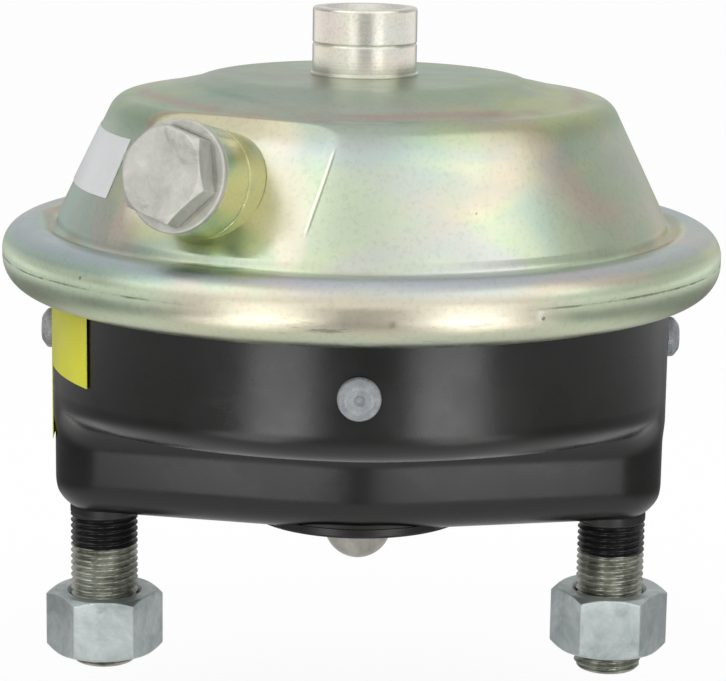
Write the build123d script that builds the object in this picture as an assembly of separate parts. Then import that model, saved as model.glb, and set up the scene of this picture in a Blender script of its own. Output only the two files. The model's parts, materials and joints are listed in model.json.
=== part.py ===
from build123d import *
import math
import os

# Diaphragm brake chamber for an air disc brake. Millimetres.
# Origin: centre of the mounting face. +Z points along the axis to the air port,
# -Y is the front, and the two mounting studs lie on the X axis and point down.

# ---------------------------------------------------------------- driving sizes
# Body: painted lower housing
body_sheet = 3.0
drum_radius = 71.7
drum_bottom_z = 27.2
drum_bottom_bend = 7.0
flange_width = 6.9
flange_bottom_z = 57.0
flange_root_bend = 3.2
flange_edge_bend = 2.8

# Diaphragm: its rim lies on the flange
diaphragm_sheet = 3.0
rim_root_width = 1.8
rim_overhang = 1.1
rim_height = 6.6
rim_bend = 3.0
diaphragm_shoulder_bend = 7.0
diaphragm_foot_bend = 1.0

# Cover: deep-drawn pressure housing, given by its outer surface
cover_sheet = 2.5
cover_height = 33.9
plateau_radius = 34.0
plateau_bend_radius = 15.0
shoulder_drop = 5.2
shoulder_bend_radius = 6.0
wall_run = 14.0
foot_step = 0.6
foot_bend_radius = 2.5

# Rolled bead of the cover, closed round the rim and the flange
bead_side_gap = 0.9
bead_under_gap = 0.3
bead_top_bend = 5.9
bead_bottom_bend = 7.5
bead_lip_step = 3.3

# Flattened seat for the side port
facet_depth = 3.4

# Pod: the diamond-shaped foot of the body
pod_vertex = 29.0
pod_facet_angle = 12.5
pod_front_bend = 34.0
pod_tip_bend = 9.0
pod_bottom_bend = 9.0
pod_floor = 3.5
pod_inner_bend = 4.0
skirt_start_z = 16.0
skirt_angle = 30.0

# Opening of the body around the push rod, and its rubber
neck_radius = 20.3
neck_height = 16.0
ring_outer_radius = 26.0
ring_width = 3.95
ring_groove_depth = 1.5
ring_stand_out = 0.6
bellows_outer_radius = 19.0
bellows_inner_radius = 11.8
bellows_sheet = 1.0
bellows_folds = 3
bellows_fold_bend = 1.25
cuff_length = 3.0
cuff_end_z = -3.5
clamp_ring_sheet = 1.5
clamp_ring_inner_radius = 16.0

# Push plate and push rod
plate_radius = 40.0
plate_sheet = 3.5
plate_edge_bend = 6.0
plate_lip = 6.5
rod_radius = 8.0
ball_centre_z = -4.0
rod_spigot_radius = 6.0

# Return spring
wire_radius = 2.1
spring_base_radius = 57.0
spring_top_radius = 24.0
spring_turns = 4.5
end_coil_degrees = 300.0

# Mounting studs and nuts, M16 x 1.5
stud_spacing = 120.65
stud_radius = 8.0
stud_shank_radius = 7.7
stud_hole_gap = 0.1
thread_pitch = 1.5
thread_depth = 0.92
stud_end_z = -38.4
stud_land = 1.4
stud_chamfer = 1.0
stud_head_radius = 11.0
stud_head_height = 5.0
nut_across_flats = 24.0
nut_height = 14.5
nut_left_top_z = -21.0
nut_right_top_z = -18.7
nut_left_turn = 4.0
nut_right_turn = -3.0

# Air ports: the same threaded boss on the top and on the side
port_radius = 12.0
port_height = 15.5
port_bore_radius = 7.19
port_mouth_radius = 9.6
port_spigot_radius = 9.7
port_groove_from_end = 8.2
port_groove_width = 0.6
port_groove_depth = 0.3
port_weld_width = 0.35
port_weld_height = 0.6

# Side port direction: turned from the front towards -X, and tilted up
side_port_turn = 31.0
side_port_tilt = 14.5
side_port_axis_drop = 0.8
side_port_reach = 5.2
side_bore_radius = 8.05

# Hexagon plug in the side port
plug_collar_radius = 12.1
plug_collar_height = 1.7
plug_across_flats = 19.0
plug_hex_height = 5.5
plug_thread_radius = 7.95
plug_thread_length = 8.5
plug_neck_length = 1.6
plug_neck_radius = 6.85
plug_seal_section = 0.75

# Vent plugs around the body
vent_z = 42.5
vent_hole_radius = 3.5
vent_head_radius = 4.65
vent_head_height = 2.8
vent_rim_height = 1.5
vent_stem_length = 5.5
vent_dimple_radius = 1.3
vent_dimple_depth = 0.9

# Labels: bare stickers
label_sheet = 0.2
rating_label_above_foot = 9.5
rating_label_width = 12.6
rating_label_start = 158.0
rating_label_sweep = 54.5
body_label_above_ledge = 9.3
body_label_width = 16.0
body_label_start = 147.0
body_label_sweep = 66.0
label_tail_length = 19.0
label_tail_start = 174.0
label_tail_sweep = 12.0
label_plug_gap = 0.7

# Clearances
touch = 0.05
soft_gap = 0.4
thread_gap = 0.05
hex_chamfer_angle = 30.0

# Long enough to reach past any piece
beyond = 200.0

# ---------------------------------------------------------------- worked-out sizes
flange_radius = drum_radius + flange_width
flange_top_z = flange_bottom_z + body_sheet
rim_inner_radius = drum_radius + rim_root_width
rim_outer_radius = flange_radius + rim_overhang
bead_inner_top_z = flange_top_z + rim_height
bead_top_z = bead_inner_top_z + cover_sheet
bead_radius = rim_outer_radius + bead_side_gap + cover_sheet
bead_bottom_z = flange_bottom_z - bead_under_gap - cover_sheet
bead_lip_radius = drum_radius + bead_lip_step
foot_radius = drum_radius - foot_step
shoulder_radius = foot_radius - wall_run
plateau_z = bead_top_z + cover_height
shoulder_z = plateau_z - shoulder_drop
wall_slope = math.atan2(wall_run, shoulder_z - bead_top_z)
cover_inner_top_z = plateau_z - cover_sheet
ledge_z = drum_bottom_z + body_sheet
neck_outer_radius = neck_radius + body_sheet
diaphragm_top_z = cover_inner_top_z - soft_gap
plate_top_z = diaphragm_top_z - diaphragm_sheet - soft_gap
plate_bottom_z = plate_top_z - plate_sheet
port_top_z = plateau_z + port_height
stud_x = stud_spacing / 2
hex_corner = 1 / math.cos(math.radians(30))
side_port_axis_z = bead_top_z - side_port_axis_drop
side_port_end = foot_radius + side_port_reach
side_port_hub = side_port_end + plug_collar_height
rating_label_low_z = bead_top_z + rating_label_above_foot
rating_label_high_z = rating_label_low_z + rating_label_width
body_label_low_z = drum_bottom_z + body_label_above_ledge
body_label_high_z = body_label_low_z + body_label_width
label_tail_low_z = body_label_low_z - label_tail_length

side_port_axis = Vector(
    -math.sin(math.radians(side_port_turn)) * math.cos(math.radians(side_port_tilt)),
    -math.cos(math.radians(side_port_turn)) * math.cos(math.radians(side_port_tilt)),
    math.sin(math.radians(side_port_tilt)),
)
side_port_plane = Plane(origin=(0, 0, side_port_axis_z), x_dir=(0, 0, 1), z_dir=side_port_axis)

# The cover's outer surface from the port hole to the rolled lip: radius, height, bend
cover_chain = [
    (port_spigot_radius + touch, plateau_z, 0),
    (plateau_radius, plateau_z, plateau_bend_radius),
    (shoulder_radius, shoulder_z, shoulder_bend_radius),
    (foot_radius, bead_top_z, foot_bend_radius),
    (bead_radius, bead_top_z, bead_top_bend),
    (bead_radius, bead_bottom_z, bead_bottom_bend),
    (bead_lip_radius, bead_bottom_z, 0),
]


# ---------------------------------------------------------------- shared geometry
def rounded_face(corners):
    """Flat face from corners given as (x, y, bend radius)."""
    face = make_face(Polyline(*[(x, y) for x, y, _ in corners], close=True))
    for x, y, bend in corners:
        if bend > 0:
            corner = face.vertices().sort_by_distance((x, y, 0))[0]
            face = fillet(corner, bend)
    return face


def turned(corners, degrees=360.0):
    """Solid of revolution about Z from corners given as (radius, height, bend radius)."""
    return revolve(Plane.XZ * rounded_face(corners), Axis.Z, degrees)


def shifted_chain(corners, shifts):
    """The chain with each run moved to its right by its own shift, and bends kept parallel."""
    runs = []
    for (x0, y0, _), (x1, y1, _), shift in zip(corners, corners[1:], shifts):
        length = math.hypot(x1 - x0, y1 - y0)
        ux = (x1 - x0) / length
        uy = (y1 - y0) / length
        runs.append((x0 + uy * shift, y0 - ux * shift, ux, uy, shift, length))
    moved = [(runs[0][0], runs[0][1], 0)]
    for (xa, ya, uxa, uya, shift_a, _), (xb, yb, uxb, uyb, _, _), corner in zip(
        runs, runs[1:], corners[1:]
    ):
        turn = uxa * uyb - uya * uxb
        along = ((xb - xa) * uyb - (yb - ya) * uxb) / turn
        bend = corner[2] + math.copysign(shift_a, turn)
        moved.append((xa + along * uxa, ya + along * uya, max(bend, 0) if corner[2] else 0))
    x, y, ux, uy, _, length = runs[-1]
    end_x, end_y, _ = corners[-1]
    reach = (end_x - x) * ux + (end_y - y) * uy
    moved.append((x + reach * ux, y + reach * uy, 0))
    return moved


def sheet(corners, thickness):
    """Pressed sheet: a solid of revolution with the thickness laid to the chain's right."""
    inner = shifted_chain(corners, [thickness] * (len(corners) - 1))
    return turned(corners + inner[::-1])


def ring(inner_radius, outer_radius, low_z, high_z):
    """Plain ring about Z."""
    return turned(
        [
            (inner_radius, low_z, 0),
            (outer_radius, low_z, 0),
            (outer_radius, high_z, 0),
            (inner_radius, high_z, 0),
        ]
    )


def rod_on(plane, radius, start, end):
    """Cylinder on a plane's Z axis between two distances from its origin."""
    return plane.offset(start) * Cylinder(
        radius, end - start, align=(Align.CENTER, Align.CENTER, Align.MIN)
    )


def hexagon(across_flats, low, high, chamfer_low, chamfer_high):
    """Hexagon bar about Z whose ends are chamfered to the circle across its flats."""
    corner_radius = across_flats / 2 * hex_corner
    drop = (corner_radius - across_flats / 2) * math.tan(math.radians(hex_chamfer_angle))
    prism = Plane.XY.offset(low) * extrude(RegularPolygon(corner_radius, 6), high - low)
    low_radius = across_flats / 2 if chamfer_low else corner_radius
    high_radius = across_flats / 2 if chamfer_high else corner_radius
    envelope = turned(
        [
            (0, low, 0),
            (low_radius, low, 0),
            (corner_radius, low + drop, 0),
            (corner_radius, high - drop, 0),
            (high_radius, high, 0),
            (0, high, 0),
        ]
    )
    return prism & envelope


def thread_profile(crest_radius, top, bottom):
    """Points down a ring-grooved thread, from its top to its bottom."""
    count = int((top - bottom) / thread_pitch)
    points = []
    for turn in range(count):
        z = top - turn * thread_pitch
        points.append((crest_radius, z, 0))
        points.append((crest_radius - thread_depth, z - thread_pitch / 2, 0))
    points.append((crest_radius, top - count * thread_pitch, 0))
    return points


# ---------------------------------------------------------------- cover and ports
def beyond_facet(depth, low_z):
    """Everything outside the flattened seat, at a depth below the conical wall."""
    middle_z = (shoulder_z + bead_top_z) / 2
    wall_radius = (shoulder_radius + foot_radius) / 2
    turn = math.radians(side_port_turn)
    outward = Vector(
        -math.sin(turn) * math.cos(wall_slope),
        -math.cos(turn) * math.cos(wall_slope),
        math.sin(wall_slope),
    )
    on_wall = Vector(-math.sin(turn) * wall_radius, -math.cos(turn) * wall_radius, middle_z)
    seat = Plane(origin=on_wall - outward * depth, x_dir=(0, 0, 1), z_dir=outward)
    block = seat * Box(beyond, beyond, beyond, align=(Align.CENTER, Align.CENTER, Align.MIN))
    above = Pos(0, 0, low_z) * Box(
        2 * beyond, 2 * beyond, beyond, align=(Align.CENTER, Align.CENTER, Align.MIN)
    )
    return block & above


def cover():
    """Zinc-plated pressure housing with its rolled bead and the side port's flat seat."""
    shell = sheet(cover_chain, cover_sheet)
    filled = turned(
        [
            (0, bead_inner_top_z, 0),
            (0, plateau_z, 0),
            *cover_chain[1:4],
            (bead_radius - bead_top_bend, bead_top_z, 0),
            (bead_radius - bead_top_bend, bead_inner_top_z, 0),
        ]
    )
    outside = beyond_facet(facet_depth, bead_top_z)
    seat = filled & beyond_facet(facet_depth + cover_sheet, bead_inner_top_z)
    hole = rod_on(side_port_plane, port_spigot_radius + touch, 0, beyond)
    return (shell - outside) + (seat - outside) - hole


def port_mouth_depth(bore_radius):
    """Depth of a port's 45 degree mouth."""
    return port_mouth_radius - bore_radius


def top_port_boss():
    """Threaded boss that stands on the middle of the cover."""
    groove_z = port_top_z - port_groove_from_end
    outline = [
        (port_bore_radius, cover_inner_top_z, 0),
        (port_spigot_radius, cover_inner_top_z, 0),
        (port_spigot_radius, plateau_z, 0),
        (port_radius + port_weld_width, plateau_z, 0),
        (port_radius + port_weld_width, plateau_z + port_weld_height, 0),
        (port_radius, plateau_z + port_weld_height, 0),
        (port_radius, groove_z - port_groove_width / 2, 0),
        (port_radius - port_groove_depth, groove_z, 0),
        (port_radius, groove_z + port_groove_width / 2, 0),
        (port_radius, port_top_z, 0.6),
        (port_mouth_radius, port_top_z, 0),
        (port_bore_radius, port_top_z - port_mouth_depth(port_bore_radius), 0),
    ]
    return turned(outline)


def side_port_boss():
    """Threaded boss on the flattened seat, its foot cut to the seat."""
    foot = rod_on(side_port_plane, port_radius, 0, side_port_end)
    foot = foot & beyond_facet(facet_depth, 0)
    spigot = rod_on(side_port_plane, port_spigot_radius, 0, side_port_end - port_groove_from_end)
    spigot = spigot & beyond_facet(facet_depth + cover_sheet, 0)
    groove_at = side_port_end - port_groove_from_end
    groove = side_port_plane.offset(groove_at) * ring(
        port_radius - port_groove_depth,
        port_radius + 1,
        -port_groove_width / 2,
        port_groove_width / 2,
    )
    bore = rod_on(side_port_plane, side_bore_radius, 0, beyond)
    depth = port_mouth_depth(side_bore_radius)
    mouth = side_port_plane.offset(side_port_end - depth) * Cone(
        side_bore_radius, port_mouth_radius, depth, align=(Align.CENTER, Align.CENTER, Align.MIN)
    )
    return foot + spigot - groove - bore - mouth


def side_port_plug():
    """Hexagon screw plug with a collar, an undercut neck and a thread."""
    neck_end = side_port_end - plug_neck_length
    thread_end = side_port_end - plug_neck_length - plug_thread_length
    thread = thread_profile(plug_thread_radius, neck_end, thread_end)
    thread_foot_z = thread[-1][1]
    shank = turned(
        [
            (0, side_port_hub, 0),
            (plug_collar_radius, side_port_hub, 0.3),
            (plug_collar_radius, side_port_end, 0.3),
            (plug_neck_radius, side_port_end, 0),
            (plug_neck_radius, neck_end, 0),
            *thread,
            (plug_thread_radius - thread_depth, thread_foot_z - thread_depth, 0),
            (0, thread_foot_z - thread_depth, 0),
        ]
    )
    head = hexagon(
        plug_across_flats, side_port_hub, side_port_hub + plug_hex_height, False, True
    )
    return side_port_plane * (shank + Rot(0, 0, 15) * head)


def side_port_seal():
    """O-ring between the plug's collar and the port's mouth."""
    centre_radius = plug_neck_radius + plug_seal_section + touch
    at = side_port_end - plug_seal_section - touch
    return side_port_plane.offset(at) * Torus(centre_radius, plug_seal_section)


# ---------------------------------------------------------------- body
def pod_outline(inset):
    """Diamond with rounded front and back, cut to the drum at both ends."""
    slope = math.radians(pod_facet_angle)
    half_width = pod_vertex - inset / math.cos(slope)
    tip = half_width / math.tan(slope)
    diamond = make_face(
        Polyline((0, -half_width), (tip, 0), (0, half_width), (-tip, 0), close=True)
    )
    outline = diamond & Circle(drum_radius - inset)
    for side in (-1, 1):
        corner = outline.vertices().sort_by_distance((0, side * half_width, 0))[0]
        outline = fillet(corner, pod_front_bend - inset)
    for corner_x in (-1, 1):
        for corner_y in (-1, 1):
            far = (corner_x * drum_radius, corner_y * half_width / 2, 0)
            corner = outline.vertices().sort_by_distance(far)[0]
            outline = fillet(corner, pod_tip_bend - inset)
    return outline


def pod(inset, low_z, high_z, bottom_bend):
    """Pod as a filled prism with a rounded bottom edge."""
    prism = extrude(Plane.XY.offset(low_z) * pod_outline(inset), high_z - low_z)
    return fillet(prism.edges().group_by(Axis.Z)[0], bottom_bend)


def body_cavity():
    """Inside of the body, from the pod's floor to the open flange."""
    drum = turned(
        [
            (0, ledge_z, 0),
            (drum_radius - body_sheet, ledge_z, drum_bottom_bend - body_sheet),
            (drum_radius - body_sheet, flange_top_z, flange_root_bend + body_sheet),
            (flange_radius - flange_edge_bend, flange_top_z, 0),
            (flange_radius - flange_edge_bend, flange_top_z + 1, 0),
            (0, flange_top_z + 1, 0),
        ]
    )
    return drum + pod(body_sheet, pod_floor, ledge_z + 1, pod_inner_bend)


def vent_planes():
    """Name and outward plane of each vent position."""
    return {
        "front": Plane(origin=(0, 0, vent_z), x_dir=(0, 0, 1), z_dir=(0, -1, 0)),
        "right": Plane(origin=(0, 0, vent_z), x_dir=(0, 0, 1), z_dir=(1, 0, 0)),
        "back": Plane(origin=(0, 0, vent_z), x_dir=(0, 0, 1), z_dir=(0, 1, 0)),
        "left": Plane(origin=(0, 0, vent_z), x_dir=(0, 0, 1), z_dir=(-1, 0, 0)),
    }


def housing():
    """Painted lower housing: flange, drum, ledge, pod and the neck around the rod."""
    drum = turned(
        [
            (0, drum_bottom_z, 0),
            (drum_radius, drum_bottom_z, drum_bottom_bend),
            (drum_radius, flange_bottom_z, flange_root_bend),
            (flange_radius, flange_bottom_z, flange_edge_bend),
            (flange_radius, flange_top_z, 0),
            (0, flange_top_z, 0),
        ]
    )
    skirt = extrude(
        Plane.XY.offset(skirt_start_z) * pod_outline(0),
        drum_bottom_z + drum_bottom_bend - skirt_start_z,
        taper=-skirt_angle,
    )
    skirt = skirt & ring(0, drum_radius, 0, flange_bottom_z)
    solid = drum + pod(0, 0, ledge_z + 1, pod_bottom_bend) + skirt
    solid = solid - body_cavity()
    solid = solid + ring(neck_radius, neck_outer_radius, 0, neck_height)
    solid = solid - ring(0, neck_radius, -1, neck_height + 1)
    groove_outer = ring_outer_radius + touch
    solid = solid - ring(groove_outer - ring_width - 2 * touch, groove_outer, -1, ring_groove_depth)
    for side in (-1, 1):
        solid = solid - Pos(side * stud_x, 0, 0) * Cylinder(stud_radius + stud_hole_gap, 2 * pod_floor + 2)
    for plane in vent_planes().values():
        solid = solid - rod_on(plane, vent_hole_radius, drum_radius / 2, beyond)
    return solid


def vent_plug(plane):
    """Soft plastic plug: domed head with a dimple, and a stem through the wall."""
    foot = drum_radius + touch
    top = foot + vent_head_height
    outline = [
        (0, foot - vent_stem_length, 0),
        (vent_hole_radius - thread_gap, foot - vent_stem_length, 1.0),
        (vent_hole_radius - thread_gap, foot, 0),
        (vent_head_radius, foot, 0),
        (vent_head_radius, foot + vent_rim_height, 1.2),
        (vent_head_radius * 0.62, top, 1.0),
        (vent_dimple_radius, top, 0.3),
        (vent_dimple_radius * 0.6, top - vent_dimple_depth, 0),
        (0, top - vent_dimple_depth, 0),
    ]
    return plane * turned(outline)


# ---------------------------------------------------------------- studs and nuts
def stud(side):
    """Mounting stud with its head inside the pod, side -1 or 1."""
    thread_end = stud_end_z + stud_chamfer
    thread = thread_profile(stud_radius - touch, -stud_land, thread_end)
    thread_foot_z = thread[-1][1]
    shank = turned(
        [
            (0, pod_floor, 0),
            (stud_shank_radius, pod_floor, 0),
            (stud_shank_radius, 0, 0),
            (stud_radius, 0, 0),
            (stud_radius, -stud_land, 0),
            *thread[1:],
            (stud_radius - thread_depth, stud_end_z, 0),
            (0, stud_end_z, 0),
        ]
    )
    head = Cylinder(
        stud_head_radius, stud_head_height, align=(Align.CENTER, Align.CENTER, Align.MIN)
    )
    head = Pos(side * stud_x, 0, pod_floor) * head
    room = pod(body_sheet + touch, pod_floor, ledge_z, pod_inner_bend)
    return Pos(side * stud_x, 0, 0) * shank + (head & room)


def nut(side, top_z, turn):
    """Hexagon nut, chamfered on both ends, on the stud of its side."""
    blank = hexagon(nut_across_flats, top_z - nut_height, top_z, True, True)
    bore_radius = stud_radius + thread_gap
    sink = thread_depth
    bore = turned(
        [
            (0, top_z - nut_height - 1, 0),
            (bore_radius + sink + 1, top_z - nut_height - 1, 0),
            (bore_radius, top_z - nut_height + sink, 0),
            (bore_radius, top_z - sink, 0),
            (bore_radius + sink + 1, top_z + 1, 0),
            (0, top_z + 1, 0),
        ]
    )
    return Pos(side * stud_x, 0, 0) * Rot(0, 0, turn) * (blank - bore)


# ---------------------------------------------------------------- moving pieces
def diaphragm():
    """Rubber diaphragm at rest against the cover, with its clamped rim."""
    gap = cover_sheet + soft_gap
    wide = gap + facet_depth
    top = [(0, plateau_z, 0)] + cover_chain[1:3]
    foot = (foot_radius, bead_top_z, foot_bend_radius)
    end = (rim_inner_radius + rim_bend, bead_top_z, 0)
    upper = shifted_chain([*top, foot, end], [gap, gap, wide, gap])
    upper[2] = (upper[2][0], upper[2][1], diaphragm_shoulder_bend)
    upper[3] = (upper[3][0], upper[3][1], diaphragm_foot_bend)
    web = sheet(upper, diaphragm_sheet)
    rim = turned(
        [
            (rim_inner_radius, flange_top_z + 0.15, 1.0),
            (rim_outer_radius - 1.0, flange_top_z + 0.15, rim_bend / 2),
            (rim_outer_radius, flange_top_z + rim_bend, 0),
            (rim_outer_radius, bead_inner_top_z - 0.2, rim_bend),
            (rim_inner_radius, bead_inner_top_z - 0.2, 1.0),
        ]
    )
    return web + rim


def push_plate():
    """Pressed plate under the diaphragm."""
    chain = [
        (rod_spigot_radius + touch, plate_top_z, 0),
        (plate_radius, plate_top_z, plate_edge_bend),
        (plate_radius, plate_top_z - plate_lip, 0),
    ]
    return sheet(chain, plate_sheet)


def push_rod():
    """Push rod with its ball end, riveted into the push plate."""
    shank = ring(0, rod_radius, ball_centre_z, plate_bottom_z)
    spigot = ring(0, rod_spigot_radius, plate_bottom_z, plate_top_z)
    return shank + spigot + Pos(0, 0, ball_centre_z) * Sphere(rod_radius)


def end_coil(radius, z, start_degrees):
    """Flat end coil of the spring."""
    circle = Plane(origin=(radius, 0, z), x_dir=(1, 0, 0), z_dir=(0, 1, 0)) * Circle(wire_radius)
    return Rot(0, 0, start_degrees) * revolve(circle, Axis.Z, end_coil_degrees)


def return_spring():
    """Conical spring from the body's ledge to the push plate."""
    low_z = ledge_z + wire_radius + touch
    high_z = plate_bottom_z - wire_radius - touch
    height = high_z - low_z
    cone = math.degrees(math.atan2(spring_top_radius - spring_base_radius, height))
    path = Pos(0, 0, low_z) * Helix(
        height / spring_turns, height, spring_base_radius, cone_angle=cone
    )
    section = Plane(origin=path @ 0, z_dir=path % 0) * Circle(wire_radius)
    coils = sweep(section, path=path, is_frenet=True)
    bottom = end_coil(spring_base_radius, low_z, -end_coil_degrees)
    top = end_coil(spring_top_radius, high_z, 360 * spring_turns)
    return coils + bottom + top


# ---------------------------------------------------------------- rubber at the rod
def mounting_seal_ring():
    """Rubber ring that seals the mounting face."""
    inner = ring_outer_radius - ring_width
    return turned(
        [
            (inner, -ring_stand_out, 0.5),
            (ring_outer_radius, -ring_stand_out, 0.5),
            (ring_outer_radius, ring_groove_depth - touch, 0),
            (inner, ring_groove_depth - touch, 0),
        ]
    )


def bellows():
    """Folded gaiter from the body's neck to the ball end of the rod."""
    cuff_radius = rod_radius + soft_gap + bellows_sheet
    cuff_top_z = cuff_end_z + cuff_length
    rim_z = neck_height - bellows_sheet - soft_gap
    pitch = (rim_z - cuff_top_z) / (2 * bellows_folds + 1)
    chain = [(neck_radius - soft_gap, rim_z, 0)]
    for fold in range(bellows_folds):
        inner_z = rim_z - (2 * fold + 1) * pitch
        chain.append((bellows_inner_radius, inner_z, bellows_fold_bend - bellows_sheet))
        chain.append((bellows_outer_radius, inner_z - pitch, bellows_fold_bend))
    chain.append((cuff_radius, cuff_top_z, bellows_fold_bend))
    chain.append((cuff_radius, cuff_end_z, 0))
    return sheet(chain, bellows_sheet)


def bellows_clamp_ring():
    """Pressed steel ring that holds the gaiter's rim on the neck."""
    chain = [
        (clamp_ring_inner_radius, neck_height + touch + clamp_ring_sheet, 0),
        (
            neck_outer_radius + touch + clamp_ring_sheet,
            neck_height + touch + clamp_ring_sheet,
            clamp_ring_sheet,
        ),
        (neck_outer_radius + touch + clamp_ring_sheet, neck_height - 2 * clamp_ring_sheet, 0),
    ]
    return sheet(chain, clamp_ring_sheet)


# ---------------------------------------------------------------- labels
def rating_label():
    """Bare sticker on the cover's conical wall."""
    run = math.tan(wall_slope)
    low_radius = shoulder_radius + (shoulder_z - rating_label_low_z) * run
    high_radius = shoulder_radius + (shoulder_z - rating_label_high_z) * run
    outline = [
        (low_radius + touch, rating_label_low_z, 0),
        (low_radius + touch + label_sheet, rating_label_low_z, 0),
        (high_radius + touch + label_sheet, rating_label_high_z, 0),
        (high_radius + touch, rating_label_high_z, 0),
    ]
    return Rot(0, 0, rating_label_start) * turned(outline, rating_label_sweep)


def sticker_on_drum(low_z, high_z, start_degrees, sweep_degrees):
    """Curved sticker on the drum between two heights."""
    outline = [
        (drum_radius + touch, low_z, 0),
        (drum_radius + touch + label_sheet, low_z, 0),
        (drum_radius + touch + label_sheet, high_z, 0),
        (drum_radius + touch, high_z, 0),
    ]
    return Rot(0, 0, start_degrees) * turned(outline, sweep_degrees)


def body_label():
    """Bare sticker on the drum, cut out around the left vent plug."""
    main = sticker_on_drum(
        body_label_low_z, body_label_high_z, body_label_start, body_label_sweep
    )
    tail = sticker_on_drum(label_tail_low_z, body_label_low_z, label_tail_start, label_tail_sweep)
    around_plug = rod_on(
        vent_planes()["left"], vent_head_radius + label_plug_gap, drum_radius / 2, beyond
    )
    return main + tail - around_plug


# ---------------------------------------------------------------- build
def parts():
    """Every node of the chamber by name."""
    nodes = {
        "cover": cover(),
        "top_port_boss": top_port_boss(),
        "side_port_boss": side_port_boss(),
        "side_port_plug": side_port_plug(),
        "side_port_seal": side_port_seal(),
        "housing": housing(),
        "diaphragm": diaphragm(),
        "push_plate": push_plate(),
        "push_rod": push_rod(),
        "return_spring": return_spring(),
        "bellows": bellows(),
        "bellows_clamp_ring": bellows_clamp_ring(),
        "mounting_seal_ring": mounting_seal_ring(),
        "stud_left": stud(-1),
        "stud_right": stud(1),
        "nut_left": nut(-1, nut_left_top_z, nut_left_turn),
        "nut_right": nut(1, nut_right_top_z, nut_right_turn),
        "rating_label": rating_label(),
        "body_label": body_label(),
    }
    for name, plane in vent_planes().items():
        nodes["vent_plug_" + name] = vent_plug(plane)
    return nodes


os.makedirs("parts", exist_ok=True)
for node_name, shape in parts().items():
    export_step(shape, os.path.join("parts", node_name + ".step"))
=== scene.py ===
import json
import math

import bpy
import numpy as np
from mathutils import Matrix, Vector


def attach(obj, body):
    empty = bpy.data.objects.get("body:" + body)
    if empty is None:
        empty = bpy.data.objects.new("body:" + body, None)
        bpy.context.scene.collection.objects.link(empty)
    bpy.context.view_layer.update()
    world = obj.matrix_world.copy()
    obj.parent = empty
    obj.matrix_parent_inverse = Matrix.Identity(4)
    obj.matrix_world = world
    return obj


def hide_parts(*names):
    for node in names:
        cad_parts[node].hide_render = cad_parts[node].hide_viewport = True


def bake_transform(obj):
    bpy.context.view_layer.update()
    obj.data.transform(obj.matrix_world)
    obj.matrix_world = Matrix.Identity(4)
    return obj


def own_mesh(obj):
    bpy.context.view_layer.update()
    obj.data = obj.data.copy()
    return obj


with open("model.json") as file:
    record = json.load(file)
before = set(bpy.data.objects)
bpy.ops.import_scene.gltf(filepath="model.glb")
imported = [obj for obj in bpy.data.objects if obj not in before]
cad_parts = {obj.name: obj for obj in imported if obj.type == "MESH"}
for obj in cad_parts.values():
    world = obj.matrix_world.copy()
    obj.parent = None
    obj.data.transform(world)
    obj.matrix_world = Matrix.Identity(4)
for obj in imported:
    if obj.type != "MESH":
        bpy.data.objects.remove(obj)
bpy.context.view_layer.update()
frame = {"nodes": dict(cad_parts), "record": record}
nodes = frame["nodes"]
MM = 0.001

# Lengths are millimetres, turned into metres by MM; lengths inside materials are metres.
# Turns are degrees from the front (-Y) towards -X unless a comment says otherwise.

# ---------------------------------------------------------------- camera
CAMERA_PLACE = (0.61, -624.6, 166.5)
CAMERA_PITCH = 11.41
CAMERA_ROLL = 0.85
CAMERA_LENS = 134.6
SENSOR_WIDTH = 36

camera_data = bpy.data.cameras.new("camera")
camera_data.sensor_width = SENSOR_WIDTH
camera_data.lens = CAMERA_LENS
camera_data.clip_start = 0.01
camera = bpy.data.objects.new("camera", camera_data)
camera.matrix_world = (
    Matrix.Translation(Vector(CAMERA_PLACE) * MM)
    @ Matrix.Rotation(math.radians(90 - CAMERA_PITCH), 4, "X")
    @ Matrix.Rotation(math.radians(CAMERA_ROLL), 4, "Z")
)
bpy.context.scene.collection.objects.link(camera)
bpy.context.scene.camera = camera
bpy.context.scene.view_settings.view_transform = "Standard"


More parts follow.
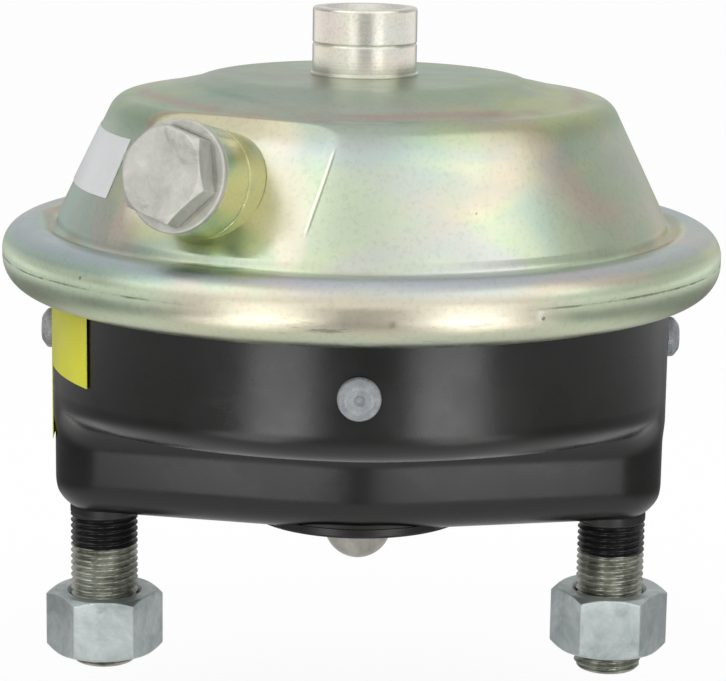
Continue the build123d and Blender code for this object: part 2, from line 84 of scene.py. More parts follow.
# ---------------------------------------------------------------- node helpers
class Tree:
    """The node tree of a material or world, with short calls for the nodes used here."""

    def __init__(self, owner):
        owner.use_nodes = True
        self.tree = owner.node_tree
        self.tree.nodes.clear()
        self.point = self.node("ShaderNodeTexCoord").outputs["Object"]

    def node(self, kind, **settings):
        made = self.tree.nodes.new(kind)
        for key, value in settings.items():
            setattr(made, key, value)
        return made

    def put(self, socket, value):
        if isinstance(value, bpy.types.NodeSocket):
            self.tree.links.new(value, socket)
        elif isinstance(value, tuple) and len(value) == 3 and socket.type == "RGBA":
            socket.default_value = (*value, 1)
        else:
            socket.default_value = value

    def math(self, operation, *values):
        made = self.node("ShaderNodeMath", operation=operation)
        for socket, value in zip(made.inputs, values):
            self.put(socket, value)
        return made.outputs[0]

    def vector(self, operation, *values):
        made = self.node("ShaderNodeVectorMath", operation=operation)
        for socket, value in zip(made.inputs, values):
            self.put(socket, value)
        return made.outputs["Value" if operation in ("LENGTH", "DOT_PRODUCT") else "Vector"]

    def split(self, vector):
        made = self.node("ShaderNodeSeparateXYZ")
        self.put(made.inputs[0], vector)
        return made.outputs

    def stretched(self, x, y, z, shift=0.0):
        """The point in the row frame, scaled on each axis."""
        made = self.node("ShaderNodeMapping")
        self.put(made.inputs["Vector"], self.point)
        made.inputs["Scale"].default_value = (x, y, z)
        made.inputs["Location"].default_value = (shift, shift * 0.7, shift * 1.3)
        return made.outputs[0]

    def noise(self, scale, detail=4.0, rough=0.55, warp=0.0, where=None):
        made = self.node("ShaderNodeTexNoise")
        self.put(made.inputs["Vector"], self.point if where is None else where)
        made.inputs["Scale"].default_value = scale
        made.inputs["Detail"].default_value = detail
        made.inputs["Roughness"].default_value = rough
        made.inputs["Distortion"].default_value = warp
        return made.outputs["Fac"]

    def cells(self, scale):
        """Distance to the nearest of many scattered points."""
        made = self.node("ShaderNodeTexVoronoi")
        self.put(made.inputs["Vector"], self.point)
        made.inputs["Scale"].default_value = scale
        return made.outputs["Distance"]

    def between(self, value, low, high, out_low=0.0, out_high=1.0):
        """Smooth step of a value from low to high."""
        made = self.node("ShaderNodeMapRange", interpolation_type="SMOOTHSTEP")
        for socket, number in zip(made.inputs, (value, low, high, out_low, out_high)):
            self.put(socket, number)
        return made.outputs[0]

    def band(self, value, centre, half, soft):
        """One near the centre, falling to nothing over the soft width."""
        away = self.math("ABSOLUTE", self.math("SUBTRACT", value, centre))
        return self.between(away, half + soft, half)

    def product(self, first, *others):
        for other in others:
            first = self.math("MULTIPLY", first, other)
        return first

    def tinted(self, colour, tone, share, *masks):
        """The colour moved towards the tone by a share, where all masks are one."""
        return self.mix(self.math("MULTIPLY", self.product(*masks), share), colour, tone)

    def ramp(self, value, *stops):
        made = self.node("ShaderNodeValToRGB")
        self.put(made.inputs[0], value)
        elements = made.color_ramp.elements
        while len(elements) < len(stops):
            elements.new(0.5)
        for element, (place, colour) in zip(elements, stops):
            element.position = place
            element.color = (*colour, 1)
        return made.outputs[0]

    def mix(self, share, a, b, kind="MIX"):
        made = self.node("ShaderNodeMix", data_type="RGBA", blend_type=kind)
        self.put(made.inputs["Factor"], share)
        self.put(made.inputs[6], a)
        self.put(made.inputs[7], b)
        return made.outputs[2]

    def bump(self, height, depth, strength=1.0, before=None):
        made = self.node("ShaderNodeBump")
        self.put(made.inputs["Height"], height)
        made.inputs["Distance"].default_value = depth
        made.inputs["Strength"].default_value = strength
        if before is not None:
            self.put(made.inputs["Normal"], before)
        return made.outputs[0]

    def edges(self, radius):
        """Normal rounded over the sharp edges, and a mask of those edges."""
        made = self.node("ShaderNodeBevel", samples=4)
        made.inputs["Radius"].default_value = radius
        flat = self.node("ShaderNodeNewGeometry").outputs["True Normal"]
        turned = self.vector("DOT_PRODUCT", flat, made.outputs[0])
        return made.outputs[0], self.between(turned, 0.995, 0.93)

    def crevice(self, reach):
        """One in narrow inner corners, nothing on open surfaces."""
        made = self.node("ShaderNodeAmbientOcclusion", samples=4)
        made.inputs["Distance"].default_value = reach
        return self.between(made.outputs["AO"], 0.75, 0.35)

    def finish(self, **sockets):
        """Principled shader with these sockets, an underscore for each space."""
        shader = self.node("ShaderNodeBsdfPrincipled")
        for name, value in sockets.items():
            self.put(shader.inputs[name.replace("_", " ")], value)
        out = self.node("ShaderNodeOutputMaterial")
        self.tree.links.new(shader.outputs[0], out.inputs[0])


def rgb(red, green, blue):
    """Linear colour of an sRGB one given from 0 to 255."""
    return tuple(
        c / 12.92 if c <= 0.04045 else ((c + 0.055) / 1.055) ** 2.4
        for c in (red / 255, green / 255, blue / 255)
    )


def material(name):
    """A new material of its own name, because the CAD's materials hold the slot names."""
    made = bpy.data.materials.new("look_" + name)
    return Tree(made), made


# ---------------------------------------------------------------- flat around the side port
WALL_SLOPE = math.atan2(71.1 - 57.1, 97.8 - 69.1)
WALL_RADIUS, WALL_HEIGHT = 64.1, 83.45  # halfway up the conical wall


def facet(turn, depth, lean=0.0):
    """Unit normal and offset of a flat that cuts the conical wall to this depth halfway up."""
    a, slope = math.radians(turn), WALL_SLOPE + math.radians(lean)
    across = math.cos(slope)
    normal = np.array((-math.sin(a) * across, -math.cos(a) * across, math.sin(slope)))
    return normal, WALL_RADIUS * across + WALL_HEIGHT * math.sin(slope) - depth


PORT_TURN = 31.0
FACETS = [facet(PORT_TURN, 3.4), facet(25.0, 2.25, 2.8)]  # the port's seat, and the shallower flat beside it


# ---------------------------------------------------------------- materials
GREEN = rgb(196, 208, 182)
TEAL = rgb(172, 198, 190)
LAVENDER = rgb(198, 194, 206)
PINK = rgb(222, 196, 186)
YELLOW = rgb(222, 224, 178)
CREAM = rgb(202, 195, 174)
# Tone, noise level at which its patches start, share of it in them
FILM = ((TEAL, 0.47, 0.7), (YELLOW, 0.5, 0.7), (LAVENDER, 0.51, 0.5), (PINK, 0.52, 0.55))


def film(t, size, seed):
    """Colours of a thin chromate film: soft patches that drift over green."""
    colour = GREEN
    for index, (tone, low, share) in enumerate(FILM):
        where = t.stretched(size, size, size * 1.6, seed + 3.7 * index)
        patch = t.between(t.noise(1, 2, 0.45, 0.6, where), low, low + 0.16)
        colour = t.tinted(colour, tone, share, patch)
    return colour


def grain(t, colour, size, depth):
    """Fine pores and short dark ticks of the rolled sheet."""
    pores = t.between(t.noise(size, 3, 0.65), 0.34, 0.5)
    colour = t.mix(depth, colour, t.mix(pores, rgb(150, 160, 150), rgb(255, 255, 255)), "MULTIPLY")
    ticks = t.between(t.noise(1, 4, 0.7, 0.2, t.stretched(950, 950, 300)), 0.7, 0.78)
    return t.tinted(colour, rgb(130, 134, 122), 0.1, ticks)


def zinc_boss():
    """Turned and chromated bosses: the top one pale, the side one green and yellow."""
    t, made = material("zinc_boss")
    colour = t.mix(0.72, film(t, 42, 5.0), rgb(244, 236, 226))
    side = t.between(t.split(t.point)[1], -0.022, -0.028)
    tint = t.mix(t.between(t.noise(60, 2), 0.42, 0.58), rgb(164, 188, 150), rgb(212, 212, 146))
    colour = grain(t, t.tinted(colour, tint, 0.8, side), 1500, 0.15)
    rough = t.between(t.noise(60, 5, 0.65), 0.25, 0.75, 0.18, 0.27)
    turned = t.noise(1, 2, 0.5, 0.0, t.stretched(40, 40, 2600))
    normal = t.bump(turned, 0.000012, 0.8, t.edges(0.0005)[0])
    t.finish(Base_Color=colour, Metallic=1.0, Roughness=rough, Normal=normal)
    return made


SPOTS = (  # place and reach in millimetres, tone, share
    ((37.1, -74.4, 61.1), 1.3, rgb(240, 238, 226), 0.6),
    ((37.9, -74.0, 60.6), 0.5, rgb(70, 68, 62), 0.7),
    ((-59.4, -57.4, 64.7), 0.5, rgb(50, 50, 46), 0.7),
    ((6.5, -82.8, 60.3), 0.9, rgb(128, 104, 72), 0.35),
    ((24.0, -61.0, 80.3), 0.3, rgb(44, 46, 44), 0.7),
)


def pressing_tones_and_painted_light(t, colour, radius, z, aside):
    """Tones of the bead, the valley inside it, the deck and its rim, with painted shade in the valley and on
    the crown, and painted light on the bead's face at the sides.
    """
    wavy = t.math("MULTIPLY_ADD", t.noise(28, 3, 0.5), 0.008, t.math("ADD", radius, -0.004))
    on_bead = t.between(radius, 0.0742, 0.0755)
    face = t.math("MULTIPLY", on_bead, t.between(z, 0.0668, 0.0655))
    # The bead's face is cream in front and painted lighter and greener at the left and right sides: painted
    # light.
    tone = t.mix(aside, CREAM, rgb(222, 236, 206))
    colour = t.tinted(colour, tone, 0.85, face, t.band(z, 0.0615, 0.0032, 0.0025))
    colour = t.tinted(colour, rgb(196, 204, 172), 0.6, face, t.between(z, 0.0595, 0.0575))
    colour = t.tinted(colour, rgb(178, 184, 200), 0.55, on_bead, t.between(z, 0.0668, 0.0682))
    # Darker along the valley at the foot of the cover's wall, inside the bead: painted shade.
    valley_shade = t.band(wavy, 0.0728, 0.0006, 0.0016)
    colour = t.tinted(colour, rgb(172, 160, 134), 0.6, valley_shade, t.between(z, 0.0712, 0.0695))
    rim = t.math("MULTIPLY", t.band(wavy, 0.0505, 0.0002, 0.0026), t.between(z, 0.0955, 0.097))
    colour = t.tinted(colour, rgb(206, 170, 174), 0.6, rim, t.between(t.noise(30, 3), 0.36, 0.5))
    deck = t.between(wavy, 0.051, 0.048)
    colour = t.tinted(colour, rgb(162, 186, 182), 0.35, deck, t.between(z, 0.1, 0.1012))
    # The crown, from the shoulder up, is multiplied darker and yellower: painted shade.
    crown_shade = t.math("MULTIPLY", t.between(z, 0.091, 0.097), 0.85)
    return t.mix(crown_shade, colour, rgb(220, 224, 206), "MULTIPLY")


def facet_tones_and_painted_light(t, colour, z):
    """Cream on the port's seat, painted shade in an arch at its top, and a painted highlight with a line of
    painted shade along the crease of the flat beside it.
    """
    above, beside = (
        t.math("SUBTRACT", t.vector("DOT_PRODUCT", t.point, tuple(normal)), offset * MM)
        for normal, offset in FACETS
    )
    seat = t.between(t.math("ABSOLUTE", above), 0.0012, 0.0004)
    seat = t.math("MULTIPLY", seat, t.between(z, 0.068, 0.071))
    colour = t.tinted(colour, rgb(232, 216, 202), 0.5, seat)
    # The top of the seat, where it rounds into the dome, is darker and yellower: painted shade.
    colour = t.tinted(colour, rgb(176, 170, 138), 0.65, seat, t.between(z, 0.0925, 0.0955))
    # Along the crease of the flat beside the seat, a thin painted highlight and, next to it, a thin line of
    # painted shade.
    near = t.math("MULTIPLY", t.between(above, -0.0004, -0.0006), t.band(z, 0.0845, 0.0065, 0.003))
    for centre, tone in ((-0.0002, rgb(252, 248, 234)), (-0.00031, rgb(112, 114, 96))):
        colour = t.tinted(colour, tone, 0.6, near, t.band(beside, centre, 0.00002, 0.00005))
    return colour


def zinc_cover():
    """Chromated sheet: tones that follow the pressing, with painted shade and light among them, the seam and
    rubs of the bead, and the grain.
    """
    t, made = material("zinc_cover")
    x, y, z = t.split(t.point)
    radius = t.vector("LENGTH", t.vector("MULTIPLY", t.point, (1, 1, 0)))
    aside = t.between(t.math("ABSOLUTE", x), 0.032, 0.048)
    colour = pressing_tones_and_painted_light(t, film(t, 24, 0.0), radius, z, aside)
    colour = facet_tones_and_painted_light(t, colour, z)
    for place, reach, tone, share in SPOTS:
        away = t.vector("LENGTH", t.vector("SUBTRACT", t.point, tuple(v * MM for v in place)))
        away = t.math("MULTIPLY_ADD", t.noise(700, 4, 0.7), 2.4 * MM * reach, away)
        colour = t.tinted(colour, tone, share, t.between(away, 2.4 * MM * reach, 1.5 * MM * reach))
    colour = grain(t, colour, 900, 0.12)

    wobble = t.math("MULTIPLY_ADD", t.noise(30, 3), 0.0009, 0.0619)
    line = t.between(t.math("ABSOLUTE", t.math("SUBTRACT", z, wobble)), 0.0004, 0.0)
    broken = t.between(t.noise(55, 5, 0.7), 0.4, 0.6)
    seam = t.product(line, t.between(radius, 0.0805, 0.082), t.math("MULTIPLY", broken, aside))
    colour = t.tinted(colour, rgb(96, 96, 80), 0.7, seam)

    front = t.math("MULTIPLY", t.band(x, 0.001, 0.01, 0.02), t.between(y, 0.0, -0.02))
    streaks = t.between(t.noise(1, 5, 0.7, 0.2, t.stretched(60, 60, 420)), 0.56, 0.64)
    rub = t.product(streaks, t.band(z, 0.0585, 0.0012, 0.0028), t.math("MULTIPLY_ADD", front, 0.8, 0.1))
    colour = t.tinted(colour, rgb(104, 108, 98), 0.7, rub)
    # Darker in patches on the bead's lower lip.
    lower_lip_patches = t.between(t.noise(1, 4, 0.7, 0, t.stretched(120, 120, 60)), 0.5, 0.6)
    colour = t.tinted(colour, rgb(96, 96, 88), 0.6, t.between(z, 0.0556, 0.0546), lower_lip_patches)

    rough = t.between(t.noise(60, 5, 0.65), 0.25, 0.75, 0.28, 0.4)
    rough = t.math("MULTIPLY_ADD", rub, 0.2, rough)
    normal = t.bump(t.noise(2600, 2, 0.5), 0.00002)
    normal = t.bump(t.noise(45, 2, 0.5), 0.0001, 0.5, normal)
    normal = t.bump(t.noise(1, 2, 0.5, 0, t.stretched(900, 900, 12)), 0.00001, 0.6, normal)
    normal = t.bump(t.math("SUBTRACT", 1.0, seam), 0.0001, 0.5, normal)
    t.finish(Base_Color=colour, Metallic=1.0, Roughness=rough, Normal=normal)
    return made


def black_paint():
    """Satin black paint with orange peel, dust specks and a few rubs."""
    t, made = material("black_paint")
    colour = t.ramp(t.noise(14, 4, 0.6), (0.3, rgb(9, 10, 8)), (0.7, rgb(16, 17, 14)))
    dust = t.between(t.cells(150), 0.035, 0.012)
    dust = t.math("MULTIPLY", dust, t.between(t.noise(40, 2), 0.5, 0.6))
    colour = t.tinted(colour, rgb(150, 150, 146), 0.55, dust)
    smear = t.between(t.noise(1, 4, 0.6, 0.5, t.stretched(30, 30, 55, 1.0)), 0.6, 0.75)
    colour = t.tinted(colour, rgb(70, 71, 68), 0.3, smear)
    rough = t.between(t.noise(80, 5, 0.6), 0.3, 0.7, 0.25, 0.33)
    peel = t.bump(t.noise(260, 2, 0.5), 0.00004, 0.5)
    peel = t.bump(dust, 0.00015, 0.8, peel)
    t.finish(Base_Color=colour, Roughness=rough, Specular_IOR_Level=0.52, Normal=peel)
    return made


def galvanized(name, dark, pale, rough_low, rough_high, shade_and_grime=0.0):
    """Dull zinc with crystal-like blotches, paler worn edges, and, if asked, painted shade with grime in
    narrow inner corners.
    """
    t, made = material(name)
    colour = t.ramp(t.noise(120, 6, 0.7, 0.5), (0.32, dark), (0.68, pale))
    dirt = t.between(t.noise(55, 6, 0.7, 1.0), 0.6, 0.74)
    colour = t.tinted(colour, rgb(96, 96, 90), 0.5, dirt)
    rough = t.between(t.noise(180, 4, 0.65), 0.25, 0.75, rough_low, rough_high)
    rounded, edge = t.edges(0.0006)
    colour = t.tinted(colour, rgb(226, 226, 220), 0.5, edge)
    normal = t.bump(t.noise(900, 3, 0.6), 0.00003, 0.7, rounded)
    normal = t.bump(t.noise(160, 4, 0.6), 0.00008, 0.5, normal)
    if shade_and_grime:
        # Dark brown in narrow inner corners, from ambient occlusion: painted shade with grime.
        shade_and_grime_mask = t.crevice(0.0022)
        colour = t.tinted(colour, rgb(74, 62, 52), shade_and_grime, shade_and_grime_mask)
        rough = t.math("MULTIPLY_ADD", shade_and_grime_mask, 0.2, rough)
    t.finish(Base_Color=colour, Metallic=0.92, Roughness=rough, Normal=normal)
    return made


def stud_finish():
    """Grey threads, painted black next to the body."""
    t, made = material("stud_steel")
    z = t.split(t.point)[2]
    grey = t.ramp(t.noise(220, 5, 0.65), (0.3, rgb(116, 118, 110)), (0.7, rgb(196, 198, 186)))
    edge = t.math("MULTIPLY_ADD", t.noise(160, 3), 0.0016, -0.0102)
    painted = t.between(t.math("SUBTRACT", z, edge), -0.0001, 0.0001)
    colour = t.mix(painted, grey, rgb(22, 22, 21))
    metal = t.math("SUBTRACT", 0.95, t.math("MULTIPLY", painted, 0.95))
    rough = t.between(t.noise(300, 4), 0.3, 0.7, 0.3, 0.48)
    normal = t.bump(t.noise(700, 3), 0.00003, 0.6)
    t.finish(Base_Color=colour, Metallic=metal, Roughness=rough, Normal=normal)
    return made


def dull_black(name, level):
    """Rubber, or the spring's black coat, about this grey."""
    t, made = material(name)
    dark, pale = level - 8, level + 8
    colour = t.ramp(t.noise(90, 4), (0.3, rgb(dark, dark, dark)), (0.7, rgb(pale, pale, pale - 1)))
    rough = t.between(t.noise(200, 3), 0.3, 0.7, 0.55, 0.75)
    t.finish(Base_Color=colour, Roughness=rough, Normal=t.bump(t.noise(1500, 2), 0.00003, 0.6))
    return made


def vent_plastic():
    """Milky translucent plastic."""
    t, made = material("vent_plastic")
    colour = t.ramp(t.noise(420, 4, 0.6), (0.3, rgb(160, 166, 170)), (0.7, rgb(198, 202, 205)))
    rough = t.between(t.noise(500, 3), 0.3, 0.7, 0.22, 0.38)
    t.finish(
        Base_Color=colour,
        Roughness=rough,
        Transmission_Weight=0.35,
        Subsurface_Weight=0.3,
        Subsurface_Scale=0.002,
        IOR=1.46,
        Normal=t.bump(t.noise(380, 3), 0.00006, 0.6),
    )
    return made


def paper(name, light, dark):
    """Bare sticker film, slightly soiled."""
    t, made = material(name)
    colour = t.ramp(t.noise(35, 4, 0.6), (0.3, dark), (0.65, light))
    spot = t.between(t.cells(260), 0.06, 0.02)
    colour = t.tinted(colour, rgb(120, 118, 108), 0.25, spot)
    rough = t.between(t.noise(120, 3), 0.3, 0.7, 0.32, 0.5)
    t.finish(Base_Color=colour, Roughness=rough, Normal=t.bump(t.noise(1200, 2), 0.00002, 0.5))
    return made


finishes = {
    "zinc_cover": zinc_cover(),
    "zinc_boss": zinc_boss(),
    "plug_steel": galvanized("plug_steel", rgb(182, 182, 174), rgb(216, 216, 208), 0.46, 0.6, 0.85),
    "seal_rubber": dull_black("seal_rubber", 26),
    "black_paint": black_paint(),
    "diaphragm_rubber": dull_black("diaphragm_rubber", 34),
    "push_steel": galvanized("push_steel", rgb(150, 148, 140), rgb(196, 194, 184), 0.3, 0.45),
    "spring_steel": dull_black("spring_steel", 30),
    "bellows_rubber": dull_black("bellows_rubber", 28),
    "clamp_steel": galvanized("clamp_steel", rgb(150, 148, 140), rgb(190, 188, 180), 0.3, 0.45),
    "stud_steel": stud_finish(),
    "nut_steel": galvanized("nut_steel", rgb(158, 168, 168), rgb(202, 210, 208), 0.4, 0.55),
    "white_label": paper("white_label", rgb(232, 233, 234), rgb(212, 214, 214)),
    "yellow_label": paper("yellow_label", rgb(236, 236, 60), rgb(222, 220, 52)),
    "vent_plastic": vent_plastic(),
}
slots = {entry["node"]: entry["material_slot"] for entry in frame["record"]["subparts"]}
for name, node in nodes.items():
    node.data.materials.clear()
    node.data.materials.append(finishes[slots[name]])


# ---------------------------------------------------------------- mesh helpers
def smooth_shade(obj, angle):
    """Smooth shading, sharp where faces meet at more than the angle."""
    for polygon in obj.data.polygons:
        polygon.use_smooth = True
    obj.data.set_sharp_from_angle(angle=math.radians(angle))


def add_mesh(name, points, faces, slot, body, replaced):
    """A piece of the visual model that rides on a body and replaces a CAD node."""
    data = bpy.data.meshes.new(name)
    data.from_pydata([tuple(p) for p in points], [], faces)
    data.update()
    obj = bpy.data.objects.new(name, data)
    bpy.context.scene.collection.objects.link(obj)
    data.materials.append(finishes[slot])
    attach(obj, body)
    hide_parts(replaced)
    return obj


def grid_faces(rows, columns, wrap_rows=True):
    """Quads of a grid that closes along its columns, and along its rows if asked."""
    faces = []
    for row in range(rows if wrap_rows else rows - 1):
        a = row * columns
        b = (row + 1) % rows * columns
        for column in range(columns):
            c = (column + 1) % columns
            faces.append((a + column, b + column, b + c, a + c))
    return faces


def bent(corners, step):
    """Points along a chain of (radius, height, bend radius) corners, a step apart."""
    runs = []
    start = np.array(corners[0][:2], float)
    for (x0, y0, _), (x1, y1, bend), (x2, y2, _) in zip(corners, corners[1:], corners[2:]):
        corner = np.array((x1, y1), float)
        before = corner - np.array((x0, y0), float)
        after = np.array((x2, y2), float) - corner
        before /= np.linalg.norm(before)
        after /= np.linalg.norm(after)
        turn = before[0] * after[1] - before[1] * after[0]
        half = math.acos(max(-1, min(1, float(before @ after)))) / 2
        reach = bend * math.tan(half)
        arc_start = corner - before * reach
        side = math.copysign(1, turn)
        centre = arc_start + side * bend * np.array((-before[1], before[0]))
        runs.append((start, arc_start))
        count = max(2, int(bend * 2 * half / step))
        first = arc_start - centre
        arc = []
        for k in range(1, count):
            angle = side * 2 * half * k / count
            cos, sin = math.cos(angle), math.sin(angle)
            turned = (first[0] * cos - first[1] * sin, first[0] * sin + first[1] * cos)
            arc.append(centre + np.array(turned))
        runs.append(arc)
        start = corner + after * reach
    runs.append((start, np.array(corners[-1][:2], float)))
    points = []
    for run in runs:
        if isinstance(run, tuple):
            a, b = run
            count = max(1, int(np.linalg.norm(b - a) / step))
            points += [a + (b - a) * k / count for k in range(count + 1)]
        else:
            points += run
    kept = [points[0]]
    for p in points[1:]:
        if np.linalg.norm(p - kept[-1]) > 1e-6:
            kept.append(p)
    return np.array(kept)


def offset_left(points, distance):
    """The polyline moved to its left."""
    along = np.gradient(points, axis=0)
    along /= np.linalg.norm(along, axis=1)[:, None]
    return points + distance * np.stack((-along[:, 1], along[:, 0]), 1)


HOLE_SIDES = 72


def pierce(obj, holes):
    """Cut round holes, each a (start, direction, radius, length) in millimetres, through a closed mesh."""
    bpy.ops.object.select_all(action="DESELECT")
    made = []
    for start, direction, radius, length in holes:
        along = Vector(direction).normalized()
        middle = (Vector(start) + along * length / 2) * MM
        bpy.ops.mesh.primitive_cylinder_add(
            vertices=HOLE_SIDES, radius=radius * MM, depth=length * MM, location=middle
        )
        cutter = bpy.context.object
        cutter.rotation_euler = along.to_track_quat("Z", "Y").to_euler()
        made.append(cutter)
    bpy.context.view_layer.objects.active = obj
    for cutter in made:
        cut = obj.modifiers.new("hole", "BOOLEAN")
        cut.object = cutter
        cut.operation = "DIFFERENCE"
        cut.solver = "MANIFOLD"
    bpy.context.view_layer.update()
    cut_obj = obj.evaluated_get(bpy.context.evaluated_depsgraph_get())
    whole = bpy.data.meshes.new_from_object(cut_obj)
    obj.modifiers.clear()
    old = obj.data
    obj.data = whole
    whole.name = old.name
    bpy.data.meshes.remove(old)
    for cutter in made:
        bpy.data.objects.remove(cutter)


# ---------------------------------------------------------------- cover
COVER_SHEET = 2.5
COVER_CHAIN = [  # radius, height, bend radius, from the top port down to the rolled lip
    (9.8, 103.0, 0),
    (34.0, 103.0, 15.0),
    (57.1, 97.8, 6.0),
    (70.2, 70.9, 1.6),
    (70.9, 67.75, 1.3),
    (74.3, 69.1, 4.5),
    (83.1, 69.1, 5.9),
    (83.1, 54.2, 7.5),
    (75.0, 54.2, 0),
]
COVER_STEP = 0.55
COLUMNS = 720
DECK_EDGE = [  # turn from the front towards +X, radius
    (-180, 37.5),
    (-100, 38),
    (-60, 40),
    (-35, 43),
    (-12, 50),
    (0, 52),
    (30, 52),
    (37, 49.5),
    (45, 44.7),
    (68, 36.6),
    (103, 37.5),
    (180, 37.5),
]
DECK_RISE = 0.45
DECK_EDGE_SOFT = 0.35
FACET_FOOT = 69.5  # below this the wall is not flattened
FACET_FADE = 13
FACET_EDGE_SOFT = 0.08


def smooth(value):
    """Smooth step of a number from 0 to 1."""
    value = min(max(value, 0), 1)
    return value * value * (3 - 2 * value)


def deck_radius(turn):
    """Radius of the deck's raised middle for each turn, its corners rounded."""
    deck = np.interp(np.degrees(turn), [a for a, _ in DECK_EDGE], [r for _, r in DECK_EDGE])
    kernel = np.hanning(41)
    return np.convolve(np.concatenate((deck[-20:], deck, deck[:20])), kernel / kernel.sum(), "valid")


def cover_skin():
    """Pressed cover of sheet: conical wall, raised deck, rolled bead and the flats at the side port."""
    outer = bent(COVER_CHAIN, COVER_STEP)
    inner = offset_left(outer, -COVER_SHEET)[::-1]
    turn = np.linspace(-math.pi, math.pi, COLUMNS, endpoint=False)
    deck = deck_radius(turn)
    rows = []
    for layer, depth in ((outer, 0.0), (inner, COVER_SHEET)):
        for radius, height in layer:
            points = np.stack((radius * np.sin(turn), -radius * np.cos(turn), np.full(COLUMNS, height)), 1)
            rise = 1 / (1 + np.exp(np.clip((radius - deck) / DECK_EDGE_SOFT, -40, 40)))
            points[:, 2] += DECK_RISE * (rise - 1) * (1 - smooth((radius - 52.5) / 3.5)) * (radius > 20)
            fade = smooth((height - FACET_FOOT) / FACET_FADE)
            for normal, offset in FACETS:
                beyond = points @ normal - offset + depth
                cut = 0.5 * (beyond + np.sqrt(beyond**2 + FACET_EDGE_SOFT))
                cut = np.where(beyond > -3, cut, 0) * fade
                points -= cut[:, None] * normal
            rows.append(points * MM)
    faces = grid_faces(len(rows), COLUMNS)
    return add_mesh("cover_skin", np.concatenate(rows), faces, "zinc_cover", "chamber", "cover")


PORT_TILT = 14.5
PORT_START = (0, 0, 68.3)
PORT_HOLE = 9.75
SKIN_SHARP = 40


def port_axis():
    turn, tilt = math.radians(PORT_TURN), math.radians(PORT_TILT)
    return -math.sin(turn) * math.cos(tilt), -math.cos(turn) * math.cos(tilt), math.sin(tilt)


cover = cover_skin()
pierce(cover, [(PORT_START, port_axis(), PORT_HOLE, 100)])
smooth_shade(cover, SKIN_SHARP)


# ---------------------------------------------------------------- body
DRUM = 71.7
LEDGE_FOOT = 23.6  # height of the drum's underside where it meets the pod's wall
LEDGE_RISE = 0.1  # slope of the drum's underside, away from the pod
DRUM_BEND = 7.0
POD_SIDE = 29.15  # half width of the diamond pod across its flat corners
POD_TURN = 12.5  # degrees between the pod's walls and the X axis
POD_DRAFT = 0.035
POD_BEND, POD_FLOOR_BEND, POD_FOOT_BEND = 9.0, 8.5, 7.5
FLANGE = 78.6
FLANGE_LOW = 57.0
FLANGE_TOP = 60.0
BODY_SHEET = 3.0
BODY_EYE = 45.0  # height on the axis from which the skin is measured
REACH = 110.0
GROOVE_OUTER = 26.05
GROOVE_INNER = 22.0
GROOVE_DEPTH = 1.5
NECK_INNER = 20.3
NECK_OUTER = 23.3
NECK_TOP = 16.0


def round_both(a, b, radius):
    """Distance to what is inside both a and b, with the edge rounded."""
    corner = np.hypot(np.maximum(a + radius, 0), np.maximum(b + radius, 0))
    return corner + np.minimum(np.maximum(a, b) + radius, 0) - radius


def round_either(a, b, radius):
    """Distance to what is inside a or b, with the inner corner filled."""
    corner = np.hypot(np.maximum(radius - a, 0), np.maximum(radius - b, 0))
    return np.maximum(np.minimum(a, b), radius) - corner


def body_distance(x, y, z, flanged=True):
    """Distance to the body's outer surface: drum, pod and flange run into each other softly."""
    radius = np.hypot(x, y)
    side = radius - DRUM
    sin, cos = math.sin(math.radians(POD_TURN)), math.cos(math.radians(POD_TURN))
    wall = np.sqrt(x * x + 22.0) * sin + np.sqrt(y * y + 1.0) * cos - POD_SIDE * cos
    wall = wall + POD_DRAFT * (9.0 - z)
    drum = round_both(side, LEDGE_FOOT + LEDGE_RISE * np.clip(wall, 0, 45) - z, DRUM_BEND)
    pod = round_both(round_both(wall, side, POD_BEND), -z, POD_FLOOR_BEND)
    pod = np.maximum(pod, z - 50)
    both = round_either(drum, pod, POD_FOOT_BEND)
    both = round_both(both, side, 1.2)
    if flanged:
        flange = round_both(radius - FLANGE, np.abs(z - (FLANGE_LOW + FLANGE_TOP) / 2) - 1.5, 1.4)
        both = round_either(both, flange, 3.2)
        both = np.maximum(both, z - FLANGE_TOP)
    return both


def body_reach(turn, tilt, inset=0.0, flanged=True):
    """How far the surface lies from the eye on the axis, for directions turn and tilt."""
    dx, dy, dz = np.sin(tilt) * np.cos(turn), np.sin(tilt) * np.sin(turn), -np.cos(tilt)
    low = np.zeros_like(dx)
    high = np.full_like(dx, REACH)
    for _ in range(26):
        middle = (low + high) / 2
        inside = body_distance(dx * middle, dy * middle, BODY_EYE + dz * middle, flanged) + inset < 0
        low = np.where(inside, middle, low)
        high = np.where(inside, high, middle)
    return low[..., None] * np.stack((dx, dy, dz), -1) + np.array((0, 0, BODY_EYE))


def even_tilts(first, last, count):
    """Tilts whose rows lie evenly along the section through the stud axis and across it."""
    many = np.linspace(first, last, 4000)
    total = 0
    for turn in (0.0, math.pi / 4, math.pi / 2):
        path = body_reach(np.full_like(many, turn), many)
        total = total + np.linalg.norm(np.diff(path, axis=0), axis=1)
    length = np.concatenate(([0], np.cumsum(total)))
    return np.interp(np.linspace(0, length[-1], count), length, many)


def ring_row(radius, height, turn):
    """One level ring of points."""
    return np.stack((radius * np.cos(turn), radius * np.sin(turn), np.full_like(turn, height)), -1)


